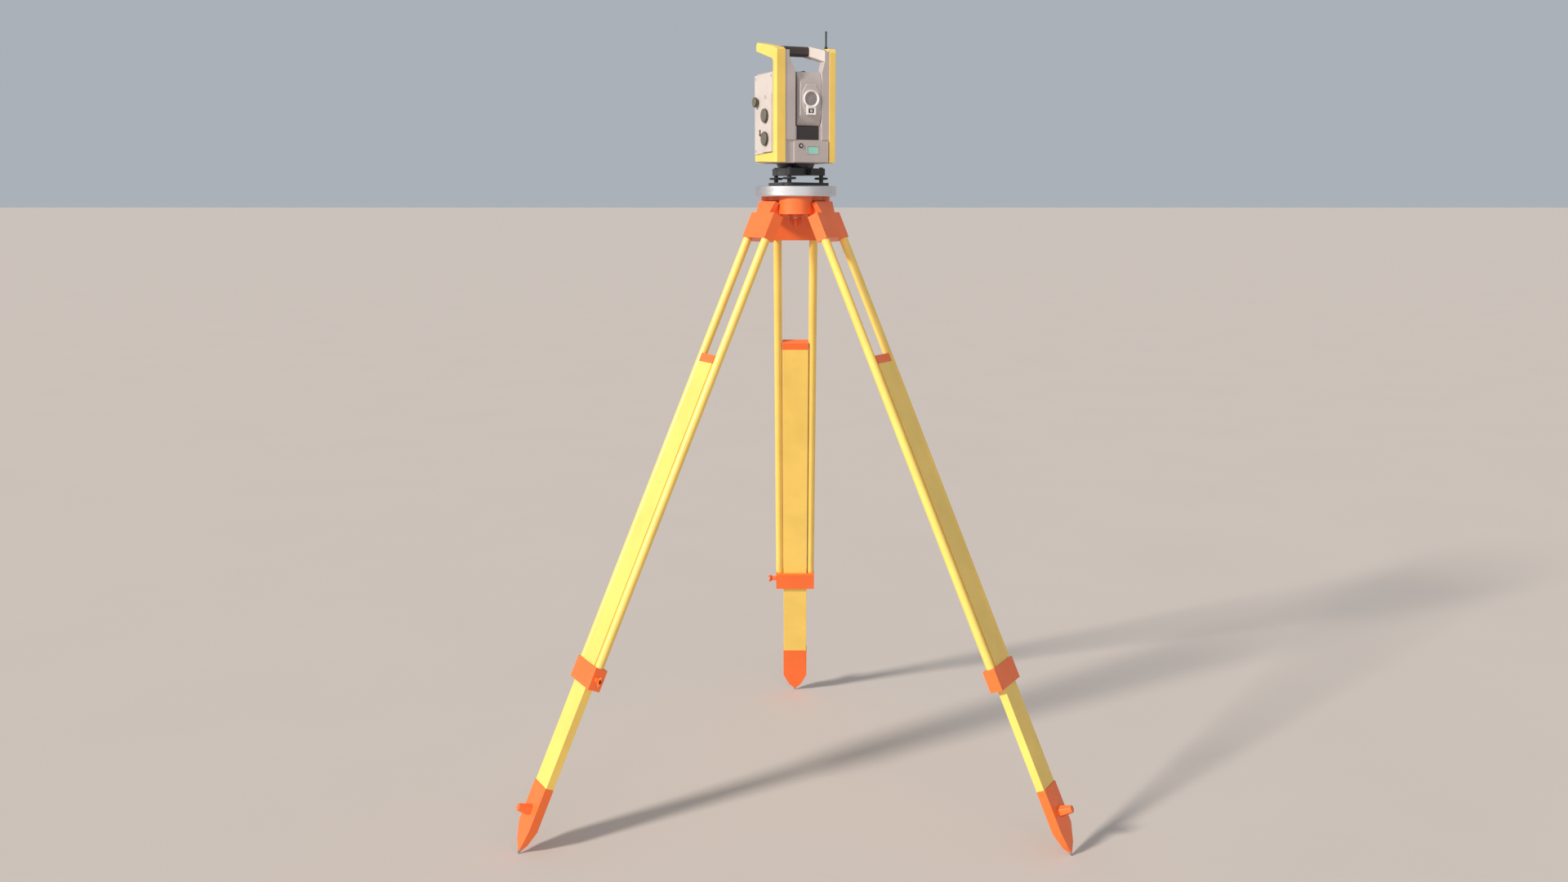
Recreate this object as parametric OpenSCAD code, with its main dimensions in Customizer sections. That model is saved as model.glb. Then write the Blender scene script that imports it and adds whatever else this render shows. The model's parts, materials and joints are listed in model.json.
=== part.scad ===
// Surveyor's tripod with a levelling base and a total station on its head.
// Frame: +Z up, origin on the ground at the station point below the centre of the head.
// The legs stand at 90, 210 and 330 degrees. Each leg is drawn in its own frame, with x
// outward, y sideways and z from the foot tip up to the head, and then leaned into place.

/* [Overall] */
// Height of the head plate's top above the ground
plate_top_z = 1496; // [1300:1:1640]
// Radius of the circle that the three foot tips stand on
foot_circle_r = 725; // [600:1:880]
// Turn of the total station about the plumb line
station_turn = 25; // [-180:1:180]

/* [Head] */
// Radius of the head plate
plate_r = 95.5; // [90:0.5:120]
// Thickness of the head plate
plate_t = 24; // [12:0.5:30]
// Radius of the hole through the head plate
plate_hole_r = 32; // [31:0.5:36]
// Height of the casting under the plate
casting_h = 40; // [36:0.5:50]
// Radius of each of the casting's three lobes
lobe_r = 40; // [36:0.5:44]
// Distance of a lobe's centre from the plumb line
lobe_rho = 47.3; // [44:0.1:52]
// Thickness of the web that joins the lobes at the top
web_t = 9; // [7:0.5:11]
// Radius of the web
web_r = 64; // [60:0.5:65]
// Radius of the casting's central well
well_r = 34; // [33:0.5:36]
// Distance of the plate's screws from the plumb line
plate_screw_rho = 76; // [72:0.5:79]
// Radius of the pocket cast into each lobe
pocket_r = 11; // [6:0.5:12]
// Distance of a pocket's centre from the plumb line
pocket_rho = 58; // [54:0.5:60]

/* [Leg hinge] */
// Distance of a hinge axis from the plumb line
hinge_rho = 50; // [48:0.5:52]
// Depth of a hinge axis below the plate's underside
hinge_drop = 25; // [24:0.5:30]
// Distance of a hinge axis inward of the leg's centre plane
hinge_offset = 18; // [16:0.5:26]
// Radius of the hinge barrel
barrel_r = 13; // [10:0.5:14]
// Width of the hinge barrel and tongue
barrel_w = 62; // [46:0.5:64]
// Radius of the hinge bolt's shank
hinge_pin_r = 5; // [3.5:0.1:6]
// Length of bolt in each cheek of the casting
cheek_grip = 14; // [8:0.5:16]
// Radius of a hinge bolt's head
hinge_head_r = 8; // [7:0.5:9]

/* [Upper leg] */
// Thickness of the yoke block
yoke_t = 27; // [24:0.5:32]
// Height of the yoke block
yoke_h = 62.5; // [40:0.5:80]
// Drop from the hinge axis to the top of the yoke block
yoke_drop = 25.5; // [24:0.5:30]
// Height of the tongue's top above the hinge axis
tongue_rise = 2; // [1:0.1:6]
// Width of the tongue's flared top
flare_w = 80; // [66:0.5:86]
// Outer radius of a rail tube
rail_r = 10.1; // [8:0.1:13]
// Wall of a rail tube
rail_wall = 2.1; // [1.5:0.1:3]
// Length of the rail tubes between yoke and clamp
rail_len = 1046.5; // [900:0.5:1120]
// Depth of the spigots inside the rail tubes
spigot_len = 30; // [15:1:60]

/* [Clamp] */
// Height of the clamp along the leg
clamp_h = 51.6; // [40:0.2:70]
// Thickness of the clamp
clamp_t = 30.3; // [28:0.1:40]
// Rim of the clamp outside the rails
clamp_rim = 0.4; // [0.2:0.1:6]
// Radius of the clamp screw
clamp_screw_r = 4; // [3:0.1:6]
// Half span of the screw's two wings
wing_span = 11.5; // [9:0.5:18]

/* [Lower leg] */
// Width of the sliding inner leg
inner_w = 66; // [54:0.5:80]
// Thickness of the sliding inner leg
inner_t = 19; // [15:0.5:22]
// Wall of the inner leg
inner_wall = 2; // [1.5:0.1:3]
// Top end of the inner leg, measured from the foot tip
inner_top = 1198; // [1000:1:1250]
// Height of the cap on the inner leg
cap_h = 20; // [12:1:30]
// Depth of the cap and shoe plugs inside the inner leg
plug_len = 40; // [20:1:80]
// Width of the foot shoe
shoe_w = 68.7; // [60:0.1:84]
// Thickness of the foot shoe
shoe_t = 21.3; // [20:0.1:30]
// Top of the foot shoe above the foot tip
shoe_top = 166; // [140:1:200]
// Height of the middle of the shoe's nose above the foot tip
nose_s = 28; // [20:1:40]
// Width of the middle of the shoe's nose
nose_w = 36; // [24:1:44]
// Height at which the shoe starts to taper
shoe_taper = 66; // [50:1:80]
// Height of the step peg above the foot tip
peg_s = 104; // [90:1:125]
// Length of the step peg
peg_len = 31; // [20:1:45]
// Radius of the step peg's corners where it leaves the shoe
peg_r = 14; // [9:0.5:16]
// Radius of the step peg's corners at its end
peg_end_r = 9; // [6:0.5:12]
// Height of the steel tip below the shoe
tip_len = 9; // [8:0.5:20]
// Radius of the steel tip where it meets the shoe
tip_r = 4.2; // [4:0.1:6]
// Radius of the rounded point
point_r = 1.5; // [1:0.1:2]

/* [Centring] */
// Distance of the centring arm's pivot from the plumb line
arm_pivot_rho = 44; // [43:0.5:48]
// Width of the centring arm
arm_w = 34; // [32:0.5:40]
// Thickness of the centring arm
arm_t = 7; // [5:0.5:10]
// Reach of the slider each way along the arm's slot
slide_reach = 18; // [10:0.5:18]
// Width of the arm's slot
slot_w = 20; // [18:0.5:22]
// Radius of the centring screw
centring_r = 7.94; // [7:0.01:8.5]
// Radius of the bore through the centring screw
plumb_bore_r = 4; // [2.5:0.1:5]
// Radius of the centring screw's knob
knob_r = 17; // [15:0.5:22]
// Height of the centring screw's knob
knob_h = 18; // [16:0.5:34]

/* [Levelling base] */
// Distance of the foot screws from the plumb line
screw_rho = 63; // [58:0.5:68]
// Turn of the levelling base about the plumb line
base_turn = 16.9; // [-180:0.1:180]
// Corner radius of the base plate round each foot screw
base_corner_r = 18; // [16:0.5:24]
// Thickness of the base plate
base_t = 8; // [6:0.5:10]
// Corner radius of the upper body round each foot screw
body_corner_r = 9; // [8:0.5:14]
// Bottom of the upper body above the head plate
body_z = 24.7; // [23:0.1:28]
// Thickness of the upper body
body_t = 16.2; // [12:0.1:18]
// Radius of a foot screw's shank
foot_screw_r = 5; // [4:0.1:6]
// Radius of a foot screw's wheel
wheel_r = 15.5; // [12:0.5:18]
// Thickness of a foot screw's wheel
wheel_t = 4.4; // [3:0.1:6]
// Bottom of the wheels above the head plate
wheel_z = 15.5; // [12:0.1:17]

/* [Total station] */
// Width of the total station's housing
station_w = 154; // [140:1:180]
// Depth of the total station's housing
station_d = 118; // [116:1:140]
// Distance of the housing's middle to the left of the plumb line
station_shift = 1; // [0:0.5:8]
// Distance of the housing's middle in front of the plumb line
station_ahead = 1.5; // [0:0.5:8]
// Bottom of the housing above the head plate
station_z = 52; // [48:0.5:56]
// Top of the lower housing above the head plate
deck_z = 103.8; // [96:0.1:108]
// Height of the trunnion axis above the head plate
trunnion_z = 196; // [190:0.5:210]
// Top of the two standards above the head plate
standard_z = 256; // [240:0.5:262]
// Radius of the trunnion axle
trunnion_r = 14; // [9:0.5:18]
// Radius of the vertical spindle
spindle_r = 18; // [12:0.5:24]
// Width of the yellow frame's left column
left_column_w = 24.8; // [18:0.1:30]
// Width of the yellow frame's right column
right_column_w = 18.4; // [12:0.1:22]
// Depth of the yellow frame's columns
column_d = 14.5; // [10:0.5:18]
// Width of the bevel down the outer edge of each column
column_bevel = 3; // [1:0.5:6]
// Radius of the two large drive knobs
drive_knob_r = 15.7; // [12:0.1:18]
// Radius of the small focus knob
focus_knob_r = 11.3; // [8:0.1:13]
// Radius of each side knob's stem
knob_stem_r = 4; // [3:0.1:6]

/* [Telescope] */
// Distance of the telescope's middle to the right of the plumb line
scope_x = 8.8; // [0:0.1:10]
// Width of the telescope
scope_w = 58.4; // [50:0.2:60]
// Height of the telescope
scope_h = 120; // [90:1:122]
// Depth of the telescope
scope_d = 116; // [90:1:118]
// Depth of the slope along each long edge of the telescope
scope_cut = 9; // [6:0.5:20]
// Height of the slope along each long edge of the telescope
scope_slope = 25; // [18:0.5:30]
// Bevel down the telescope's front left edge
scope_bevel = 6; // [3:0.5:9]
// Distance of the sight line to the right of the telescope's middle
sight_x = 3; // [0:0.1:5]
// Outer radius of the objective's ring
ring_r = 19.3; // [15:0.1:22]
// Width of the objective's ring
ring_w = 2; // [1.5:0.1:4]

/* [Clearances] */
// Clearance of every shaft that turns in a bore and of every face that slides on another
run_gap = 0.05; // [0.02:0.01:0.1]
// Clearance of a plug or spigot that is glued or pressed in
glue_gap = 0.05; // [0.02:0.01:0.1]
// Clearance between the inner leg and the clamp round it
slide_gap = 0.4; // [0.3:0.05:0.8]
// Clearance between the inner leg and the rails beside it
rail_gap = 0.6; // [0.4:0.05:1]
// Clearance between faces that move past each other
side_gap = 0.5; // [0.3:0.05:1]

/* [Hidden] */
$fn = 96;
hull_fn = 32;
over = 1;

YELLOW = [0.93, 0.80, 0.36];
ORANGE = [0.93, 0.43, 0.16];
SILVER = [0.80, 0.80, 0.80];
STEEL = [0.55, 0.55, 0.56];
BLACK = [0.10, 0.10, 0.11];
TAUPE = [0.64, 0.60, 0.58];
PALE = [0.85, 0.79, 0.76];
KNOB = [0.45, 0.42, 0.38];
DARK_GRIP = [0.20, 0.18, 0.18];
GLASS = [0.30, 0.32, 0.36];
VIAL = [0.80, 0.90, 0.50];
DISPLAY = [0.62, 0.84, 0.76];

// The leg leans from its foot tip to its hinge, whose axis lies inside the leg's centre plane.
plate_z = plate_top_z - plate_t;
casting_z = plate_z - casting_h;
hinge_z = plate_z - hinge_drop;
hinge_run = foot_circle_r - hinge_rho;
hinge_line = sqrt(hinge_run * hinge_run + hinge_z * hinge_z);
leg_tilt = atan2(hinge_run, hinge_z) - asin(hinge_offset / hinge_line);
hinge_s = sqrt(hinge_line * hinge_line - hinge_offset * hinge_offset);

// Heights along the leg, from the foot tip.
yoke_bottom = hinge_s - yoke_drop - yoke_h;
clamp_top = yoke_bottom - rail_len;
clamp_bottom = clamp_top - clamp_h;
clamp_mid = clamp_bottom + clamp_h / 2;

// Places across the leg.
rail_y = inner_w / 2 + rail_gap + rail_r;
rail_x = 1.5;
inner_x = 1;
shoe_x = 2;
clamp_x = -1.15;
clamp_w = 2 * (rail_y + rail_r + clamp_rim);
yoke_w = clamp_w - 1;
yoke_out = hinge_offset + 12;
yoke_in = yoke_out - yoke_t;
rail_bore_r = rail_r - rail_wall;
spigot_r = rail_bore_r - glue_gap;
flare_t = 11.5;
flare_in = yoke_out - flare_t;
hinge_slot_w = barrel_w + 2 * side_gap;
peg_x = shoe_x + shoe_t / 2;

// Levelling base and centring gear.
arm_z = casting_z - arm_t - run_gap;
flange_t = 3;
flange_z = arm_z - flange_t;
pivot_bolt_r = 5;
pivot_bolt_len = 22;
pivot_boss_r = 11;
pivot_head_h = flange_t - 0.4;
slot_end = slide_reach + slot_w / 2 + 2;
arm_end = slot_end + 6;
level_rho = 54;
level_r = 10;
level_cup_h = 6.5;
level_floor = 2;
vial_r = level_r - 3;
base_edge = screw_rho / 2 + body_corner_r;
lock_r = 3;
lock_boss_r = 7;
lock_in = 11;
socket_low_r = 40.5;
socket_high_r = 45;
spindle_root_r = spindle_r + 2;
spindle_root_h = 8;
spindle_h = 20;

// Total station, in its own turned frame: x to the right, front towards -y.
left_x = -station_w / 2 - station_shift;
right_x = station_w / 2 - station_shift;
front_y = -station_d / 2 - station_ahead;
rear_y = station_d / 2 - station_ahead;
column_y = front_y + column_d;
face_y = front_y + 1;
left_split = left_x + left_column_w;
right_split = right_x - right_column_w;
left_skin = 6;
right_skin = 4;
scope_left = scope_x - scope_w / 2;
scope_right = scope_x + scope_w / 2;
sight_line = scope_x + sight_x;
left_inner = scope_left - 7.6;
right_inner = scope_right + 1;
half_d = scope_d / 2;
half_h = scope_h / 2;
scope_corner_y = half_d - scope_cut;
scope_sweep = sqrt(scope_corner_y * scope_corner_y + half_h * half_h) + 2.5;
axle_seat = 16;

// Valley between the standards: the telescope swings through it.
valley_top_z = 134.4;
valley_front_y = front_y + 4;
valley_left = left_inner + 4.3;
valley_right = right_inner - 6.7;

// Frame arms, necks and handle, above the head plate.
grip_d = 32;
grip_rear_y = grip_d / 2;
arm_low_z = 284;
arm_rear_low_z = 307;
arm_rear_top_z = 326;
arm_ridge_z = 309;
arm_front_z = 303.5;
arm_rear_y = rear_y - 8.5;
right_drop = 3.5;
right_arm_y = grip_rear_y;
right_arm_low_z = 298;
right_arm_top_z = 311.5;
sill_front_z = 76;
sill_rear_z = 71;
neck_d = 25;
neck_w = 10.2;
left_knee_z = 287;
right_neck_w = 11.6;
right_knee_z = 279.4;
neck_top_z = 302.5;
grip_left_x = left_split;
grip_right_x = right_split - 30.6;
grip_low_z = 294.3;
grip_top_z = 315.6;
grip_corner = 6;
antenna_x = right_x - 8.1;
antenna_y = -20;
antenna_r = 4;
antenna_low_z = arm_low_z + 11;
antenna_top_z = 352;

// Controls: side knobs as [y, z], the keyboard panel as x and z.
focus_spot = [40, 191.5];
upper_spot = [-14, 158.5];
lower_spot = [-14, 107];
knob_out = 11;
knob_t = 6;
knob_stem_len = 24;
panel_skin = 0.8;
panel_plate = 4;
keys_proud = 1;
button_x = -15;
button_z = 90.5;
button_r = 5;
button_len = 7;
button_proud = 2;
button_room = 2;
display_low = [1.2, 72.8];
display_high = [27.9, 88.9];
display_seat = 0.2;

// Places a child in the frame of leg k.
module on_leg(k) {
    rotate([0, 0, 120 * k - 30])
        translate([foot_circle_r, 0, 0])
            rotate([0, -leg_tilt, 0])
                children();
}

// Places a child at the hinge axis of leg k.
module at_hinge(k) {
    on_leg(k) translate([-hinge_offset, 0, hinge_s]) children();
}

// Box given by its two opposite corners.
module block(low, high) {
    translate(low) cube(high - low);
}

// Copies a child at three equal turns about the plumb line.
module thrice(first) {
    for (turn = [0, 120, 240]) rotate([0, 0, first + turn]) children();
}

// Rounded triangle with a corner round each foot screw.
module tri_outline(corner_r) {
    hull() thrice(base_turn) translate([screw_rho, 0]) circle(r = corner_r, $fn = hull_fn * 2);
}

// Places a child in the total station's frame, at the top of the head plate.
module on_station() {
    translate([0, 0, plate_top_z]) rotate([0, 0, station_turn]) children();
}

// ---- Head ----

module head_plate() {
    color(SILVER) difference() {
        translate([0, 0, plate_z]) {
            translate([0, 0, plate_t - 2]) cylinder(r1 = plate_r, r2 = plate_r - 2, h = 2);
            translate([0, 0, 2]) cylinder(r = plate_r, h = plate_t - 4);
            cylinder(r1 = plate_r - 2, r2 = plate_r, h = 2);
        }
        translate([0, 0, plate_z - over]) cylinder(r = plate_hole_r, h = plate_t + 2 * over);
        thrice(30) translate([plate_screw_rho, 0, 0]) plate_screw_space(0);
    }
}

// One plate screw's own shape, grown by a clearance for the hole that takes it.
module plate_screw_space(grow) {
    shank_r = 3;
    head_r = 6.5;
    head_h = 6;
    thread_len = 22;
    translate([0, 0, plate_z - thread_len]) cylinder(r = shank_r, h = thread_len + plate_t - head_h);
    translate([0, 0, plate_top_z - head_h - 0.5]) cylinder(r = head_r + grow, h = head_h + 0.5 + grow);
}

module plate_screws() {
    socket_r = 3.2;
    sink = 0.5;
    color(STEEL) thrice(30) translate([plate_screw_rho, 0, 0]) difference() {
        plate_screw_space(0);
        translate([0, 0, plate_top_z - sink]) cylinder(r = 20, h = over * 2);
        translate([0, 0, plate_top_z - 4]) cylinder(r = socket_r, h = 6, $fn = 6);
    }
}

module hinge_bore(k) {
    side = k == 2 ? -1 : 1;
    reach = barrel_w / 2 + cheek_grip;
    at_hinge(k) rotate([90, 0, 0]) {
        cylinder(r = hinge_pin_r, h = 2 * reach, center = true);
        translate([0, 0, side > 0 ? -reach - 60 : reach]) cylinder(r = hinge_head_r + 0.5, h = 60);
    }
}

module head_casting() {
    color(ORANGE) difference() {
        union() {
            thrice(30) translate([lobe_rho, 0, casting_z]) cylinder(r = lobe_r, h = casting_h);
            translate([0, 0, plate_z - web_t]) cylinder(r = web_r, h = web_t);
        }
        translate([0, 0, casting_z - over]) cylinder(r = well_r, h = casting_h + 2 * over);
        thrice(90) block([0, -hinge_slot_w / 2, casting_z - over],
                         [plate_r, hinge_slot_w / 2, plate_z - web_t]);
        thrice(30) translate([plate_screw_rho, 0, 0]) plate_screw_space(0);
        for (turn = [30, 150]) rotate([0, 0, turn]) translate([pocket_rho, 0, casting_z - over])
            cylinder(r = pocket_r, h = 14 + over);
        for (k = [1:3]) hinge_bore(k);
        translate([0, -arm_pivot_rho, casting_z - over])
            cylinder(r = pivot_bolt_r, h = pivot_bolt_len + over);
    }
}

module hinge_bolts() {
    reach = barrel_w / 2 + cheek_grip;
    head_h = 8;
    color(STEEL) for (k = [1:3]) {
        side = k == 2 ? -1 : 1;
        at_hinge(k) rotate([90, 0, 0]) difference() {
            union() {
                cylinder(r = hinge_pin_r, h = 2 * reach, center = true);
                translate([0, 0, side > 0 ? -reach - head_h : reach]) cylinder(r = hinge_head_r, h = head_h);
            }
            translate([0, 0, -side * (reach + head_h)]) cylinder(r = 4, h = 10, center = true, $fn = 6);
        }
    }
}

// ---- Centring gear ----

module arm_pivot_bolt() {
    head_r = 9;
    shank_low = arm_z - 2 * run_gap;
    shank_high = casting_z + pivot_bolt_len - 1;
    color(STEEL) translate([0, -arm_pivot_rho, 0]) {
        translate([0, 0, shank_low]) cylinder(r = pivot_bolt_r, h = shank_high - shank_low);
        translate([0, 0, arm_z - pivot_head_h])
            cylinder(r = head_r, h = pivot_head_h - run_gap, $fn = 6);
    }
}

module centring_arm() {
    shoulder_y = slot_end + 4;
    color(ORANGE) difference() {
        translate([0, 0, arm_z]) linear_extrude(arm_t) union() {
            translate([0, -arm_pivot_rho]) circle(r = pivot_boss_r);
            polygon([[-pivot_boss_r, -arm_pivot_rho], [pivot_boss_r, -arm_pivot_rho],
                     [arm_w / 2, -shoulder_y], [arm_w / 2, arm_end],
                     [-arm_w / 2, arm_end], [-arm_w / 2, -shoulder_y]]);
        }
        block([-slot_w / 2, -slot_end, arm_z - over], [slot_w / 2, slot_end, arm_z + arm_t + over]);
        translate([0, -arm_pivot_rho, arm_z - over])
            cylinder(r = pivot_bolt_r + run_gap, h = arm_t + 2 * over);
    }
}

module slot_slider() {
    key_w = slot_w - 2 * run_gap;
    key_top = arm_z + arm_t;
    color(STEEL) difference() {
        union() {
            block([-key_w / 2, -key_w / 2, flange_z], [key_w / 2, key_w / 2, key_top]);
            translate([0, 0, flange_z]) cylinder(r = arm_w / 2, h = flange_t);
        }
        translate([0, 0, flange_z - over])
            cylinder(r = centring_r + run_gap, h = key_top - flange_z + 2 * over);
    }
}

module centring_screw() {
    top_z = plate_top_z + base_t - 0.5;
    bottom_z = flange_z - knob_h;
    color(STEEL) difference() {
        translate([0, 0, bottom_z]) cylinder(r = centring_r, h = top_z - bottom_z);
        translate([0, 0, bottom_z - over]) cylinder(r = plumb_bore_r, h = top_z - bottom_z + 2 * over);
    }
}

module centring_knob() {
    lobes = 6;
    flute_r = 5;
    flute_rho = knob_r + 2.5;
    color(ORANGE) translate([0, 0, flange_z - knob_h]) difference() {
        cylinder(r = knob_r, h = knob_h);
        for (i = [0:lobes - 1]) rotate([0, 0, i * 360 / lobes])
            translate([flute_rho, 0, -over]) cylinder(r = flute_r, h = knob_h - 4);
        translate([0, 0, -over]) cylinder(r = centring_r, h = knob_h + 2 * over);
    }
}

// ---- Legs ----

module leg_yoke(k) {
    top = tongue_rise;
    waist = yoke_drop + 4;
    color(ORANGE) at_hinge(k) difference() {
        union() {
            rotate([90, 0, 0]) {
                cylinder(r = barrel_r, h = barrel_w, center = true);
                linear_extrude(barrel_w, center = true)
                    polygon([[-barrel_r * cos(30), -barrel_r * sin(30)], [yoke_in, -yoke_drop - 1],
                             [yoke_in, -waist], [yoke_out, -waist], [yoke_out, top],
                             [barrel_r, top], [barrel_r * sin(30), barrel_r * cos(30)]]);
            }
            translate([flare_in, 0, 0]) rotate([90, 0, 90]) linear_extrude(yoke_out - flare_in)
                polygon([[-barrel_w / 2, -yoke_drop - 1], [barrel_w / 2, -yoke_drop - 1],
                         [flare_w / 2, top], [-flare_w / 2, top]]);
            block([yoke_in, -yoke_w / 2, -yoke_drop - yoke_h], [yoke_out, yoke_w / 2, -yoke_drop]);
            for (side = [-1, 1])
                translate([hinge_offset + rail_x, side * rail_y, -yoke_drop - yoke_h - spigot_len])
                    cylinder(r = spigot_r, h = spigot_len + over);
        }
        rotate([90, 0, 0]) cylinder(r = hinge_pin_r + run_gap, h = barrel_w + 2 * over, center = true);
    }
}

module leg_rails(k) {
    color(YELLOW) on_leg(k) for (side = [-1, 1]) translate([rail_x, side * rail_y, clamp_top]) difference() {
        cylinder(r = rail_r, h = rail_len);
        translate([0, 0, -over]) cylinder(r = rail_bore_r, h = rail_len + 2 * over);
    }
}

module leg_clamp(k) {
    open_w = inner_w + 2 * slide_gap;
    open_t = inner_t + 2 * slide_gap;
    color(ORANGE) on_leg(k) difference() {
        union() {
            block([clamp_x - clamp_t / 2, -clamp_w / 2, clamp_bottom],
                  [clamp_x + clamp_t / 2, clamp_w / 2, clamp_top]);
            for (side = [-1, 1]) translate([rail_x, side * rail_y, clamp_top - over])
                cylinder(r = spigot_r, h = spigot_len + over);
        }
        block([inner_x - open_t / 2, -open_w / 2, clamp_bottom - over],
              [inner_x + open_t / 2, open_w / 2, clamp_top + over]);
        translate([inner_x, clamp_w / 2 + over, clamp_mid]) rotate([90, 0, 0])
            cylinder(r = clamp_screw_r + run_gap, h = clamp_w / 2 - inner_w / 2 + over);
    }
}

module wing_screw(k) {
    tip_y = inner_w / 2 + slide_gap;
    hub_y = clamp_w / 2 + side_gap;
    hub_h = 9;
    wing_t = 3;
    root_r = 3;
    lobe_r = 4;
    wing_y = hub_y + 17;
    color(ORANGE) on_leg(k) translate([inner_x, 0, clamp_mid]) {
        translate([0, hub_y + 1, 0]) rotate([90, 0, 0]) cylinder(r = clamp_screw_r, h = hub_y + 1 - tip_y);
        translate([0, hub_y + hub_h, 0]) rotate([90, 0, 0]) cylinder(r = clamp_screw_r + 2, h = hub_h);
        for (side = [-1, 1]) hull() {
            translate([0, hub_y + 6, side * 2]) rotate([0, 90, 0])
                cylinder(r = root_r, h = wing_t, center = true, $fn = hull_fn);
            translate([0, wing_y, side * (wing_span - lobe_r)]) rotate([0, 90, 0])
                cylinder(r = lobe_r, h = wing_t, center = true, $fn = hull_fn);
        }
    }
}

module inner_leg(k) {
    color(YELLOW) on_leg(k) difference() {
        block([inner_x - inner_t / 2, -inner_w / 2, shoe_top],
              [inner_x + inner_t / 2, inner_w / 2, inner_top]);
        block([inner_x - inner_t / 2 + inner_wall, -inner_w / 2 + inner_wall, shoe_top - over],
              [inner_x + inner_t / 2 - inner_wall, inner_w / 2 - inner_wall, inner_top + over]);
    }
}

// Plug that fits the inner leg's hollow, from one height along the leg to another.
module inner_plug(low_s, high_s) {
    half_t = inner_t / 2 - inner_wall - glue_gap;
    half_w = inner_w / 2 - inner_wall - glue_gap;
    block([inner_x - half_t, -half_w, low_s], [inner_x + half_t, half_w, high_s]);
}

module leg_cap(k) {
    color(ORANGE) on_leg(k) {
        block([inner_x - inner_t / 2, -inner_w / 2, inner_top],
              [inner_x + inner_t / 2, inner_w / 2, inner_top + cap_h]);
        inner_plug(inner_top - plug_len, inner_top + over);
    }
}

module foot_shoe(k) {
    nose_t = 14;
    socket_top = tip_len + 26;
    color(ORANGE) on_leg(k) difference() {
        union() {
            block([shoe_x - shoe_t / 2, -shoe_w / 2, shoe_taper],
                  [shoe_x + shoe_t / 2, shoe_w / 2, shoe_top]);
            inner_plug(shoe_top - over, shoe_top + plug_len);
            hull() {
                translate([shoe_x, 0, shoe_taper]) cube([shoe_t, shoe_w, 0.02], center = true);
                translate([shoe_x / 2, 0, nose_s]) cube([nose_t, nose_w, 0.5], center = true);
                translate([0, 0, tip_len]) cylinder(r = tip_r, h = 0.5, $fn = hull_fn);
            }
            translate([peg_x - over, 0, peg_s]) rotate([0, 90, 0])
                cylinder(r1 = peg_r, r2 = peg_end_r, h = peg_len + over, $fn = 6);
        }
        translate([0, 0, tip_len - over]) cylinder(r = tip_r - 1.5, h = socket_top - tip_len + over);
    }
}

module foot_tip(k) {
    ball_s = point_r / cos(leg_tilt);
    color(STEEL) on_leg(k) {
        translate([0, 0, ball_s]) sphere(r = point_r);
        translate([0, 0, ball_s]) cylinder(r1 = point_r, r2 = tip_r, h = tip_len - ball_s);
        translate([0, 0, tip_len - over]) cylinder(r = tip_r - 1.5 - glue_gap, h = 24 + over);
    }
}

// ---- Levelling base ----

module base_plate() {
    color(BLACK) translate([0, 0, plate_top_z]) difference() {
        linear_extrude(base_t) tri_outline(base_corner_r);
        translate([0, 0, -over]) cylinder(r = centring_r + run_gap, h = base_t + 2 * over);
    }
}

module foot_screw(k) {
    top = body_z + body_t + 2.5;
    turn = base_turn + 120 * (k - 1);
    color(BLACK) translate([0, 0, plate_top_z]) rotate([0, 0, turn]) translate([screw_rho, 0, 0]) {
        translate([0, 0, base_t]) cylinder(r = foot_screw_r, h = top - base_t);
        translate([0, 0, wheel_z]) cylinder(r = wheel_r, h = wheel_t);
    }
}

module base_body() {
    lobe_z = 4;
    lock_bore_len = 20;
    color(BLACK) translate([0, 0, plate_top_z + body_z]) difference() {
        union() {
            linear_extrude(body_t) tri_outline(body_corner_r);
            rotate([0, 0, base_turn + 60]) {
                block([spindle_root_r, -level_r, lobe_z], [level_rho, level_r, body_t]);
                translate([level_rho, 0, lobe_z]) cylinder(r = level_r, h = body_t - lobe_z);
            }
        }
        thrice(base_turn) translate([screw_rho, 0, -over])
            cylinder(r = foot_screw_r + run_gap, h = body_t + 2 * over);
        translate([0, 0, -over]) cylinder(r = spindle_root_r, h = body_t + 2 * over);
        rotate([0, 0, base_turn - 60]) translate([base_edge - lock_in - 1, 0, body_t / 2])
            rotate([0, 90, 0]) cylinder(r = lock_r + run_gap, h = lock_bore_len);
    }
}

module base_lock() {
    collar_x = base_edge + side_gap;
    collar_t = 5;
    lever_t = 4;
    color(BLACK) translate([0, 0, plate_top_z + body_z + body_t / 2]) rotate([0, 0, base_turn - 60]) {
        translate([base_edge - lock_in, 0, 0]) rotate([0, 90, 0]) cylinder(r = lock_r, h = lock_in + 3);
        translate([collar_x, 0, 0]) rotate([0, 90, 0]) cylinder(r = lock_boss_r, h = collar_t);
        translate([collar_x + collar_t - 0.5, 0, 0])
            block([0, -lever_t / 2, -lock_boss_r], [6, lever_t / 2, lock_boss_r]);
    }
}

// Places a child on the levelling body's round ear, where the circular level sits.
module at_level() {
    translate([0, 0, plate_top_z + body_z + body_t]) rotate([0, 0, base_turn + 60])
        translate([level_rho, 0, 0]) children();
}

module level_cup() {
    color(BLACK) at_level() difference() {
        cylinder(r = level_r - 1.5, h = level_cup_h);
        translate([0, 0, level_floor]) cylinder(r = vial_r, h = level_cup_h);
    }
}

module level_vial() {
    color(VIAL) at_level() translate([0, 0, level_floor]) cylinder(r = vial_r - glue_gap, h = 4);
}

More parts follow.
